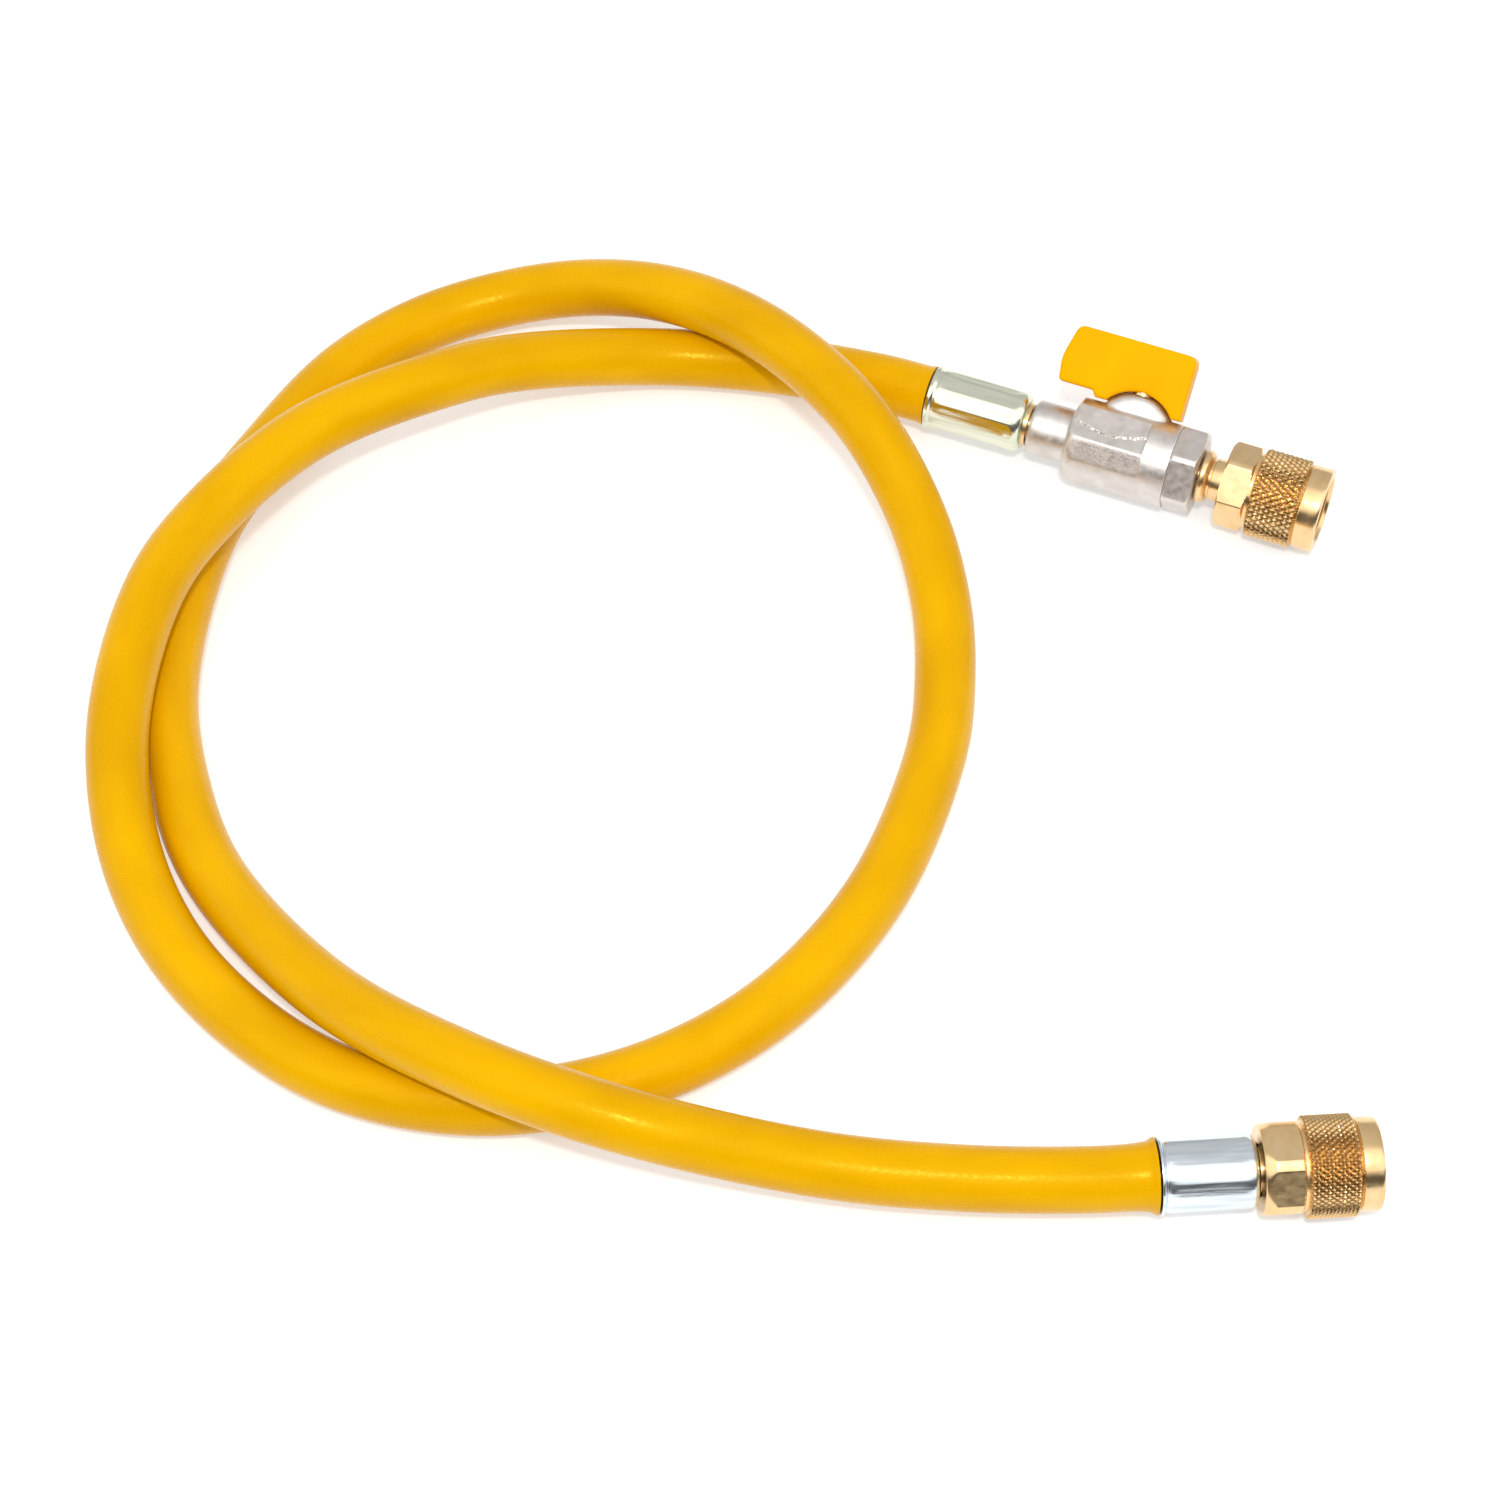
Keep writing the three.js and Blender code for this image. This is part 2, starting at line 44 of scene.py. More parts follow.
# Camera
target = Vector((-0.062565, 0.006545, 0.0))
camera = bpy.data.objects.new("camera", bpy.data.cameras.new("camera"))
scene.collection.objects.link(camera)
camera.location = (-0.062565, -0.323655, 0.4663)
camera.rotation_euler = (target - camera.location).to_track_quat("-Z", "Y").to_euler()
camera.data.lens = 86.4
camera.data.sensor_width = 36
camera.data.clip_start = 0.01
camera.data.clip_end = 10
scene.camera = camera


# Frames of the two end fittings: local x runs along the pipe, in millimetres
def turn_z(degrees):
    c, s = math.cos(math.radians(degrees)), math.sin(math.radians(degrees))
    return np.array([[c, -s, 0], [s, c, 0], [0, 0, 1]])


def turn_x(degrees):
    c, s = math.cos(math.radians(degrees)), math.sin(math.radians(degrees))
    return np.array([[1, 0, 0], [0, c, -s], [0, s, c]])


VALVE_PLACE = (turn_z(-21.4) @ turn_x(-49), np.array([-0.13, 61.6, 7.4]))
END_PLACE = (turn_z(3.8), np.array([-3.92, -73.98, 7.5]))


def at(place, points):
    rotation, origin = place
    return np.asarray(points, float) @ rotation.T + origin


# Node materials. The vector attribute "local" holds a point's place in its piece's own frame,
# in millimetres, and a second one how deep the point lies in a nut's knurl, from 0 to 1, for
# painted shade in the knurl's valleys
def srgb(r, g, b):
    """Linear colour and full opacity for a colour given in 8-bit sRGB steps."""
    return tuple(
        (v / 12.92 if v <= 0.04045 else ((v + 0.055) / 1.055) ** 2.4)
        for v in (r / 255, g / 255, b / 255)
    ) + (1.0,)


class Look:
    def __init__(self, name, roughness, metallic, **fixed):
        self.material = bpy.data.materials.new(name)
        self.material.use_nodes = True
        self.nodes = self.material.node_tree.nodes
        self.links = self.material.node_tree.links
        self.shader = self.nodes["Principled BSDF"]
        self.shader.inputs["Roughness"].default_value = roughness
        self.shader.inputs["Metallic"].default_value = metallic
        for socket, value in fixed.items():
            self.shader.inputs[socket.replace("_", " ")].default_value = value
        self.local = self.nodes.new("ShaderNodeAttribute")
        self.local.attribute_name = "local"
        self.normal = None

    def noise(self, scale, detail=3.0, roughness=0.5):
        """Noise over the piece's own millimetres, scaled along its x, y and z."""
        mapping = self.nodes.new("ShaderNodeMapping")
        mapping.inputs["Scale"].default_value = scale
        self.links.new(self.local.outputs["Vector"], mapping.inputs["Vector"])
        noise = self.nodes.new("ShaderNodeTexNoise")
        noise.inputs["Scale"].default_value = 1
        noise.inputs["Detail"].default_value = detail
        noise.inputs["Roughness"].default_value = roughness
        self.links.new(mapping.outputs["Vector"], noise.inputs["Vector"])
        return noise.outputs["Fac"]

    def ramp(self, value, *stops):
        ramp = self.nodes.new("ShaderNodeValToRGB")
        elements = ramp.color_ramp.elements
        while len(elements) < len(stops):
            elements.new(0.5)
        for element, (place, colour) in zip(elements, stops):
            element.position = place
            element.color = colour
        self.links.new(value, ramp.inputs["Fac"])
        return ramp.outputs["Color"]

    def span(self, value, low, high):
        ranged = self.nodes.new("ShaderNodeMapRange")
        ranged.inputs["From Min"].default_value = 0.3
        ranged.inputs["From Max"].default_value = 0.7
        ranged.inputs["To Min"].default_value = low
        ranged.inputs["To Max"].default_value = high
        self.links.new(value, ranged.inputs["Value"])
        return ranged.outputs["Result"]

    def colour(self, value):
        self.links.new(value, self.shader.inputs["Base Color"])

    def rough(self, value):
        self.links.new(value, self.shader.inputs["Roughness"])

    def bump(self, value, height):
        """Relief of that height in millimetres, on top of any relief set before."""
        bump = self.nodes.new("ShaderNodeBump")
        bump.inputs["Distance"].default_value = height * MM
        bump.inputs["Strength"].default_value = 1.0
        self.links.new(value, bump.inputs["Height"])
        if self.normal is not None:
            self.links.new(self.normal, bump.inputs["Normal"])
        self.normal = bump.outputs["Normal"]
        self.links.new(self.normal, self.shader.inputs["Normal"])


def math_node(look, operation, first, second=None):
    node = look.nodes.new("ShaderNodeMath")
    node.operation = operation
    for socket, value in zip(node.inputs, (first, second)):
        if value is None:
            continue
        if isinstance(value, (int, float)):
            socket.default_value = value
        else:
            look.links.new(value, socket)
    return node.outputs[0]


def hose_look():
    look = Look("hose_rubber", 0.26, 0.0, Specular_Tint=(1, 0.92, 0.12, 1))
    look.shader.inputs["Specular IOR Level"].default_value = 0.25
    patches = look.noise((0.05, 0.12, 0.12), 2)
    look.colour(
        look.ramp(
            patches,
            (0.3, srgb(206, 150, 0)),
            (0.5, srgb(213, 157, 0)),
            (0.7, srgb(220, 164, 0)),
        )
    )
    look.rough(look.span(look.noise((0.9, 1.4, 1.4), 3), 0.22, 0.34))
    uv = look.nodes.new("ShaderNodeUVMap")
    uv.uv_map = "weave"
    parts = look.nodes.new("ShaderNodeSeparateXYZ")
    look.links.new(uv.outputs["UV"], parts.inputs[0])
    around = math_node(look, "MULTIPLY", parts.outputs["Y"], 22)
    along = math_node(look, "MULTIPLY", parts.outputs["X"], 0.62)
    waves = []
    for operation in ("ADD", "SUBTRACT"):
        turns = math_node(look, operation, around, along)
        angle = math_node(look, "MULTIPLY", turns, 2 * math.pi)
        waves.append(math_node(look, "SINE", angle))
    look.bump(math_node(look, "MAXIMUM", *waves), 0.003)
    look.bump(look.noise((1.4, 1.9, 1.9), 2, 0.5), 0.03)
    return look.material


def handle_look():
    look = Look("handle_plastic", 0.38, 0.0, Specular_Tint=(1, 0.8, 0.1, 1))
    look.shader.inputs["Specular IOR Level"].default_value = 0.2
    look.colour(
        look.ramp(
            look.noise((0.12, 0.12, 0.12), 2),
            (0.3, srgb(238, 164, 0)),
            (0.7, srgb(244, 171, 0)),
        )
    )
    look.rough(look.span(look.noise((2, 2, 2), 2), 0.34, 0.46))
    look.bump(look.noise((5, 5, 5), 3), 0.012)
    return look.material


def nickel_look(name, grain, depth, low, high, dark, light):
    look = Look(name, 0.4, 1.0)
    look.colour(look.ramp(look.noise((0.35, 0.35, 0.35), 4), (0.3, dark), (0.7, light)))
    look.rough(look.span(look.noise((1.1, 1.1, 1.1), 3), low, high))
    look.bump(look.noise((grain, grain, grain), 3, 0.6), depth)
    return look.material


def brass_look():
    look = Look("brass", 0.2, 1.0)
    bright = look.ramp(
        look.noise((0.5, 0.25, 0.25), 3),
        (0.3, srgb(229, 193, 138)),
        (0.7, srgb(241, 208, 158)),
    )
    # Painted shade: the brass turns brown towards the bottom of the knurl's valleys, by their depth
    knurl_shade = look.nodes.new("ShaderNodeAttribute")
    knurl_shade.attribute_name = "knurl_shade"
    shaded = look.nodes.new("ShaderNodeMix")
    shaded.data_type = "RGBA"
    look.links.new(knurl_shade.outputs["Fac"], shaded.inputs["Factor"])
    look.links.new(bright, shaded.inputs["A"])
    shaded.inputs["B"].default_value = srgb(158, 116, 60)
    look.colour(shaded.outputs["Result"])
    look.rough(look.span(look.noise((0.6, 1.2, 1.2), 4), 0.14, 0.28))
    look.bump(look.noise((9, 0.12, 0.12), 2), 0.004)
    look.bump(look.noise((1.2, 0.5, 0.5), 2), 0.01)
    return look.material


def zinc_look(name, dark, light):
    look = Look(name, 0.16, 1.0)
    look.colour(look.ramp(look.noise((0.08, 0.9, 0.9), 3), (0.35, dark), (0.65, light)))
    look.rough(look.span(look.noise((0.25, 1.6, 1.6), 4), 0.1, 0.24))
    look.bump(look.noise((0.06, 1.3, 1.3), 3), 0.03)
    look.bump(look.noise((1.5, 2.5, 2.5), 3), 0.006)
    return look.material


def plain_look(name, dark, light, roughness, metallic, grain):
    look = Look(name, roughness, metallic)
    look.colour(look.ramp(look.noise((grain,) * 3, 3), (0.3, dark), (0.7, light)))
    look.bump(look.noise((grain * 3,) * 3, 3), 0.01)
    return look.material


HOSE_RUBBER = hose_look()
HANDLE_PLASTIC = handle_look()
NICKEL = nickel_look("nickel", 6, 0.02, 0.34, 0.5, srgb(206, 199, 193), srgb(222, 217, 212))
NICKEL_GRAIN = nickel_look(
    "nickel_grain", 2.6, 0.07, 0.4, 0.58, srgb(196, 187, 180), srgb(214, 206, 200)
)
BRASS = brass_look()
ZINC_A = zinc_look("zinc_yellowed", srgb(214, 218, 196), srgb(232, 232, 214))
ZINC_B = zinc_look("zinc_blue", srgb(206, 216, 224), srgb(232, 238, 242))
SEAL_RUBBER = plain_look("seal_rubber", srgb(24, 24, 24), srgb(36, 35, 34), 0.6, 0.0, 2)
SEAT_PLASTIC = plain_look("seat_plastic", srgb(236, 233, 224), srgb(246, 244, 238), 0.45, 0.0, 1)
BALL_CHROME = plain_look("ball_chrome", srgb(200, 202, 204), srgb(226, 228, 230), 0.12, 1.0, 0.6)


# Mesh pieces
def piece(name, points, faces, place, body, material, sharp=32):
    """A mesh from points in a fitting's own millimetres, riding on a CAD body."""
    mesh = bpy.data.meshes.new(name)
    points = np.asarray(points, float)
    mesh.from_pydata((at(place, points) * MM).tolist(), [], np.asarray(faces).tolist())
    mesh.polygons.foreach_set("use_smooth", [True] * len(mesh.polygons))
    mesh.set_sharp_from_angle(angle=math.radians(sharp))
    attribute = mesh.attributes.new("local", "FLOAT_VECTOR", "POINT")
    attribute.data.foreach_set("vector", points.astype(np.float32).ravel())
    for m in material if isinstance(material, (list, tuple)) else [material]:
        mesh.materials.append(m)
    mesh.update()
    made = bpy.data.objects.new(name, mesh)
    scene.collection.objects.link(made)
    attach(made, body)
    return made


def eased(outline, steps=4):
    """Outline of (x, r) or (x, r, size), each corner that has a size rounded off by about that."""
    out = []
    count = len(outline)
    for i, corner in enumerate(outline):
        p = np.array(corner[:2], float)
        if len(corner) < 3:
            out.append(p)
            continue
        before = np.array(outline[i - 1][:2], float)
        after = np.array(outline[(i + 1) % count][:2], float)
        a = p + (before - p) * corner[2] / np.linalg.norm(before - p)
        b = p + (after - p) * corner[2] / np.linalg.norm(after - p)
        for t in np.linspace(0, 1, steps + 1):
            out.append((1 - t) ** 2 * a + 2 * t * (1 - t) * p + t**2 * b)
    return out


def dense(outline, step):
    """The same outline with points no further apart than step."""
    out = []
    for a, b in zip(outline, outline[1:]):
        count = max(1, int(math.ceil(np.linalg.norm(b - a) / step)))
        out += [a + (b - a) * k / count for k in range(count)]
    return out + [outline[-1]]


def revolved(rows, facets):
    """Closed surface from rows (x, radius), each radius a number or one value for each facet."""
    angle = np.arange(facets) * 2 * math.pi / facets
    points = []
    for x, radius in rows:
        r = np.broadcast_to(radius, (facets,))
        points.append(np.stack([np.full(facets, x), r * np.cos(angle), r * np.sin(angle)], 1))
    count = len(rows)
    i = np.arange(count)[:, None]
    j = np.arange(facets)[None, :]
    a = i * facets + j
    b = i * facets + (j + 1) % facets
    c = ((i + 1) % count) * facets + (j + 1) % facets
    d = ((i + 1) % count) * facets + j
    faces = np.stack([a, b, c, d], -1).reshape(-1, 4)
    xs = np.array([np.mean(p[:, 0]) for p in points])
    rs = np.array([np.mean(np.hypot(p[:, 1], p[:, 2])) for p in points])
    area = np.sum(xs * np.roll(rs, -1) - np.roll(xs, -1) * rs)
    if area > 0:
        faces = faces[:, ::-1]
    return np.concatenate(points), faces


def smooth_min(a, b, size):
    h = np.maximum(size - np.abs(a - b), 0) / size
    return np.minimum(a, b) - h * h * size / 4


def smooth_max(a, b, size):
    return -smooth_min(-a, -b, size)


def hexagon_radius(facets, flats, turn):
    """Distance from the axis to a hexagon's side, for each facet. A corner lies at turn."""
    angle = np.degrees(np.arange(facets) * 2 * math.pi / facets) - turn
    off = np.mod(angle, 60) - 30
    return flats / 2 / np.cos(np.radians(off))


def triangle_wave(t):
    return 1 - np.abs(2 * np.mod(t, 1) - 1)


def nets(field, low, high, step):
    """Closed mesh of the surface where field is 0, by surface nets, drawn onto the surface."""
    axes = [np.arange(a - step, b + 2 * step, step) for a, b in zip(low, high)]
    grid = np.stack(np.meshgrid(*axes, indexing="ij"), -1)
    value = field(grid.reshape(-1, 3)).reshape(grid.shape[:3])
    inside = value < 0
    n = np.array(value.shape) - 1
    corner = lambda i, j, k, v: v[i : n[0] + i, j : n[1] + j, k : n[2] + k]
    corners = [(i, j, k) for i in (0, 1) for j in (0, 1) for k in (0, 1)]
    count = sum(corner(*c, inside).astype(int) for c in corners)
    active = (count > 0) & (count < 8)
    total = np.zeros(active.shape + (3,))
    weight = np.zeros(active.shape)
    for c in corners:
        for axis in range(3):
            if c[axis]:
                continue
            e = list(c)
            e[axis] = 1
            a, b = corner(*c, value), corner(*e, value)
            crosses = (a < 0) != (b < 0)
            t = np.where(crosses, a / np.where(a == b, 1, a - b), 0)
            place = np.stack(np.broadcast_arrays(*[np.float64(v) for v in c], t)[:3], -1) * 1.0
            place[..., axis] = t
            total += place * crosses[..., None]
            weight += crosses
    index = np.full(active.shape, -1)
    index[active] = np.arange(active.sum())
    start = np.stack(np.nonzero(active), -1)
    points = (start + total[active] / weight[active][:, None]) * step
    points += np.array([a[0] for a in axes])
    faces = []
    for axis in range(3):
        order = (axis, (axis + 1) % 3, (axis + 2) % 3)
        solid = np.transpose(inside, order)
        cells = np.transpose(index, order)
        crosses = solid[:-1, 1:-1, 1:-1] != solid[1:, 1:-1, 1:-1]
        outward = solid[:-1, 1:-1, 1:-1][crosses]
        around = [cells[:, :-1, :-1], cells[:, 1:, :-1], cells[:, 1:, 1:], cells[:, :-1, 1:]]
        quads = np.stack([a[crosses] for a in around], -1)
        faces += [quads[outward], quads[~outward][:, ::-1]]
    d = step * 0.02
    for _ in range(4):
        here = field(points)
        slope = np.stack(
            [(field(points + d * e) - field(points - d * e)) / (2 * d) for e in np.eye(3)], -1
        )
        size = np.maximum(np.sum(slope**2, -1), 0.2)
        points = points - np.clip(here / size, -step, step)[:, None] * slope
    return points, np.concatenate(faces)


# Hose: the route of its centreline, from the valve's ferrule to the other one, in metres
ROUTE = [
    (-0.041, 0.0774, 0.0072),
    (-0.0585, 0.0825, 0.0057),
    (-0.078, 0.0841, 0.006),
    (-0.101, 0.0783, 0.0112),
    (-0.1125, 0.0728, 0.0138),
    (-0.1346, 0.0595, 0.0155),
    (-0.1506, 0.0405, 0.0155),
    (-0.1573, 0.0255, 0.0154),
    (-0.1606, 0.001, 0.0124),
    (-0.1567, -0.02, 0.0068),
    (-0.1456, -0.0387, 0.005),
    (-0.1255, -0.055, 0.005),
    (-0.1035, -0.0605, 0.005),
    (-0.081, -0.0568, 0.005),
    (-0.0605, -0.045, 0.005),
    (-0.044, -0.025, 0.005),
    (-0.0335, 0.002, 0.005),
    (-0.0315, 0.017, 0.0053),
    (-0.0319, 0.0315, 0.0069),
    (-0.0355, 0.0455, 0.0109),
    (-0.0437, 0.0605, 0.0164),
    (-0.054, 0.0735, 0.0174),
    (-0.0655, 0.0846, 0.0158),
    (-0.078, 0.0927, 0.0127),
    (-0.0915, 0.0973, 0.0088),
    (-0.1055, 0.0971, 0.006),
    (-0.119, 0.0921, 0.005),
    (-0.1313, 0.082, 0.005),
    (-0.1423, 0.0655, 0.005),
    (-0.1511, 0.0475, 0.005),
    (-0.1551, 0.0155, 0.005),
    (-0.1506, -0.007, 0.005),
    (-0.1438, -0.022, 0.0055),
    (-0.1255, -0.0445, 0.0105),
    (-0.105, -0.0595, 0.0154),
    (-0.082, -0.0688, 0.0153),
    (-0.053, -0.0728, 0.009),
    (-0.0325, -0.0744, 0.0077),
    (-0.0145, -0.0746, 0.0075),
]
HOSE_RADIUS = 4.85
CAD_HOSE_RADIUS = 4.9
HOSE_SIDES = 48
CORD_GAP = 0.3
# The cover swells a little where it enters each ferrule, more at the free end: height and reach
LIP_A = (0.2, 0.8)
LIP_B = (0.55, 0.7)
SWELL_B = (0.3, 2.6)
FERRULE_A_START = -34.15
hose_start = at(VALVE_PLACE, [(FERRULE_A_START - CORD_GAP, 0, 0)])[0]
hose_end = at(END_PLACE, [(-CORD_GAP, 0, 0)])[0]


def smooth_route(points, count=24):
    """Centripetal Catmull-Rom curve through the points, the same as the CAD's."""
    out = []
    last = len(points) - 1
    for i in range(last):
        p1, p2 = points[i], points[i + 1]
        p0 = points[i - 1] if i else 2 * p1 - p2
        p3 = points[i + 2] if i + 2 <= last else 2 * p2 - p1
        d0, d1, d2 = (np.linalg.norm(b - a) ** 0.5 for a, b in ((p0, p1), (p1, p2), (p2, p3)))
        t1 = ((p1 - p0) / d0 - (p2 - p0) / (d0 + d1) + (p2 - p1) / d1) * d1
        t2 = ((p2 - p1) / d1 - (p3 - p1) / (d1 + d2) + (p3 - p2) / d2) * d1
        for t in np.arange(count) / count:
            c2 = -3 * p1 + 3 * p2 - 2 * t1 - t2
            c3 = 2 * p1 - 2 * p2 + t1 + t2
            out.append(p1 + t1 * t + c2 * t * t + c3 * t**3)
    return np.array(out + [points[-1]])


def even(points, step):
    """The same line with points about step apart, and how far along it each one lies."""
    along = np.r_[0, np.cumsum(np.linalg.norm(np.diff(points, axis=0), axis=1))]
    count = int(round(along[-1] / step))
    where = np.linspace(0, along[-1], count + 1)
    return resampled(points, along, where), where


def resampled(points, along, where):
    return np.stack([np.interp(where, along, points[:, k]) for k in range(3)], 1)


def bulge(distance, lip):
    return lip[0] * np.exp(-((distance / lip[1]) ** 2))


def weave_coordinates(mesh, along, quads):
    """Along and around the tube for each face corner, with no jump inside a face."""
    vertices = np.array([l.vertex_index for l in mesh.loops])
    values = np.stack([along[vertices // HOSE_SIDES], vertices % HOSE_SIDES / HOSE_SIDES], 1)
    around = values[: quads * 4, 1].reshape(quads, 4)
    wraps = (around.max(1) - around.min(1)) > 0.5
    around[wraps] = np.where(around[wraps] < 0.5, around[wraps] + 1, around[wraps])
    values[: quads * 4, 1] = around.ravel()
    return values


def hose():
    knots = [hose_start] + [np.array(p) / MM for p in ROUTE] + [hose_end]
    line, along = even(smooth_route(knots), 1.0)
    fine = np.arange(0.25, 3, 0.25)
    where = np.unique(np.round(np.r_[along, fine, along[-1] - fine], 4))
    line = resampled(line, along, where)
    along = where
    tangent = np.gradient(line, along, axis=0)
    tangent /= np.linalg.norm(tangent, axis=1)[:, None]
    side = np.cross(tangent[0], (0, 0, 1.0))
    side /= np.linalg.norm(side)
    length = along[-1]
    left = length - along
    lip = bulge(along, LIP_A) + bulge(left, LIP_B)
    lip += bulge(left, SWELL_B)
    angle = np.arange(HOSE_SIDES) * 2 * math.pi / HOSE_SIDES
    flat_ring = CAD_HOSE_RADIUS * np.stack([np.cos(angle), np.sin(angle)], 1)
    rows, local = [], []
    for k, (p, t) in enumerate(zip(line, tangent)):
        side -= t * (side @ t)
        side /= np.linalg.norm(side)
        other = np.cross(t, side)
        ring = np.cos(angle)[:, None] * side + np.sin(angle)[:, None] * other
        rows.append(p + ring * (HOSE_RADIUS + lip[k]))
        local.append(np.c_[np.full(HOSE_SIDES, along[k]), flat_ring])
    points = np.concatenate(rows)
    start = np.arange(len(rows) - 1)[:, None] * HOSE_SIDES
    j = np.arange(HOSE_SIDES)[None, :]
    a = start + j
    b = start + (j + 1) % HOSE_SIDES
    faces = np.stack([a, b, b + HOSE_SIDES, a + HOSE_SIDES], -1).reshape(-1, 4)
    last_ring = (len(rows) - 1) * HOSE_SIDES
    caps = [list(range(HOSE_SIDES))[::-1], [last_ring + k for k in range(HOSE_SIDES)]]
    mesh = bpy.data.meshes.new("hose_rubber")
    mesh.from_pydata((points * MM).tolist(), [], faces.tolist() + caps)
    mesh.polygons.foreach_set("use_smooth", [True] * len(mesh.polygons))
    mesh.set_sharp_from_angle(angle=math.radians(50))
    attribute = mesh.attributes.new("local", "FLOAT_VECTOR", "POINT")
    attribute.data.foreach_set("vector", np.concatenate(local).astype(np.float32).ravel())
    uv = mesh.uv_layers.new(name="weave")
    values = weave_coordinates(mesh, along, len(faces))
    uv.data.foreach_set("uv", values.astype(np.float32).ravel())
    mesh.materials.append(HOSE_RUBBER)
    mesh.update()
    made = bpy.data.objects.new("hose_tube", mesh)
    scene.collection.objects.link(made)
    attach(made, "hose_and_valve")
    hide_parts("hose")
    return made, line, length


hose_tube, hose_line, hose_length = hose()

# Swivel nuts
SOCKET_RADIUS = 5.1
SOCKET_START = 4.4
BACK_HOLE_RADIUS = 3.95
NUTS = {
    "a": dict(turn=30.6, hex=4.75, cone=0.4, back=6.6, flats=12.7, bar=7.1, bevel=0.5, neck=6.7,
              knurl=8.0, knurl_r=7.39, collar=3.7, collar_r=7.0, teeth=44, helix=33),
    "b": dict(turn=-4.2, hex=5.8, cone=1.6, back=6.5, flats=13.2, bar=7.2, bevel=0.5, neck=6.7,
              knurl=7.6, knurl_r=7.49, collar=3.3, collar_r=6.85, teeth=48, helix=42),
}
NUT_FACETS = 480
KNURL_DEPTH = 0.4
KNURL_ROWS = 81
KNURL_EDGE = 0.3
THREAD_PITCH = 1.27
THREAD_ROWS = 9
THREAD_DEPTH = 0.42
THREAD_END = 8.9


def nut(n, back):
    """Mesh of a nut whose back face lies at back, and each point's depth in the knurl for painted
    shade.
    """
    facets = NUT_FACETS
    angle = np.arange(facets) / facets
    depths = {}
    side = hexagon_radius(facets, n["flats"], n["turn"])
    knurl_start = n["hex"] + n["bevel"]
    collar_start = knurl_start + n["knurl"]
    length = collar_start + n["collar"]
    front = n["hex"] - 0.35
    hex_part = dense(
        eased([(0, BACK_HOLE_RADIUS), (0, n["back"], 0.15), (n["cone"], n["bar"], 0.1),
               (front, n["bar"], 0.1), (n["hex"], n["neck"] - 0.3, 0.12),
               (knurl_start, n["neck"] - 0.3)]),
        0.3,
    )
    rows = [
        (x, smooth_min(np.full(facets, r), side, 0.06) if r > 5.5 else r) for x, r in hex_part
    ]
    teeth = n["teeth"]
    slant = teeth / (2 * math.pi * n["knurl_r"]) / math.tan(math.radians(90 - n["helix"]))
    for x in np.linspace(0, n["knurl"], KNURL_ROWS):
        rise = min(1.0, x / KNURL_EDGE, (n["knurl"] - x) / KNURL_EDGE)
        a = teeth * angle + slant * x
        b = teeth * angle - slant * x
        height = np.minimum(triangle_wave(a), triangle_wave(b))
        height = np.minimum(height, 0.8) / 0.8
        low = n["knurl_r"] - KNURL_DEPTH
        radius = (low + KNURL_DEPTH * height) * rise + (n["neck"] - 0.1) * (1 - rise)
        depths[len(rows)] = (1 - height) * rise
        rows.append((knurl_start + x, radius))
    mouth = dense(
        eased([(collar_start, n["collar_r"] - 0.35), (collar_start + 0.35, n["collar_r"], 0.15),
               (length, n["collar_r"], 0.55), (length, 5.75, 0.08), (length - 0.55, 5.45)]),
        0.6,
    )
    rows += [(x, r) for x, r in mouth]
    for x in np.arange(length - 0.65, THREAD_END, -THREAD_PITCH / THREAD_ROWS):
        fade = min(1.0, (x - THREAD_END) / 0.6)
        wave = triangle_wave(x / THREAD_PITCH + angle)
        cut = np.clip(wave * 1.25 - 0.12, 0, 1) * fade
        rows.append((x, SOCKET_RADIUS - 0.12 + THREAD_DEPTH * cut))
    rows += [(SOCKET_START, SOCKET_RADIUS), (SOCKET_START, BACK_HOLE_RADIUS)]
    points, faces = revolved([(x + back, r) for x, r in rows], facets)
    # Depth in the knurl for each point, which the brass turns into painted shade
    knurl_shade = np.zeros((len(rows), facets))
    for row, depth in depths.items():
        knurl_shade[row] = depth
    return points, faces, knurl_shade.ravel()


NUT_A_BACK = 17.0
NUT_B_BACK = 14.7
for key, place, back in (("a", VALVE_PLACE, NUT_A_BACK), ("b", END_PLACE, NUT_B_BACK)):
    points, faces, knurl_shade = nut(NUTS[key], back)
    made = piece("swivel_nut_" + key, points, faces, place, "swivel_" + key, BRASS, 28)
    # Knurl depth kept on the mesh for the brass's painted shade in the valleys
    kept = made.data.attributes.new("knurl_shade", "FLOAT", "POINT")
    kept.data.foreach_set("value", knurl_shade.astype(np.float32))
    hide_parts("nut_" + key)


# Ferrules, crimped to shallow flats along their length
def ferrule(outline, sides, flat, start, end, turn, facets=192):
    """Mesh of a turned outline with flats at that distance from the axis, from start to end."""
    angle = np.degrees(np.arange(facets) * 2 * math.pi / facets) - turn
    off = np.radians(np.mod(angle, 360 / sides) - 180 / sides)
    rows = []
    for x, r in dense(eased(outline), 0.5):
        inside = np.clip(min((x - start) / 1.2, (end - x) / 1.2), 0, 1)
        crimped = smooth_min(np.full(facets, r), flat / np.cos(off), 0.12)
        rows.append((x, r + (crimped - r) * inside if r > flat - 0.2 else r))
    return revolved(rows, facets)


points, faces = ferrule(
    [(0, 4.95), (0, 5.3, 0.12), (0.6, 5.38, 0.15), (1.0, 5.0, 0.15), (1.5, 5.12, 0.3),
     (16.8, 5.12, 1.9), (16.8, 3.9, 0.2), (15.2, 3.9), (15.2, 2.6), (3, 2.6), (3, 4.95)],
    12, 4.96, 1.4, 15.4, 10,
)
points = points + [FERRULE_A_START, 0, 0]
ferrule_a = piece("crimp_ferrule_a", points, faces, VALVE_PLACE, "hose_and_valve", ZINC_A)
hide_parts("ferrule_a")

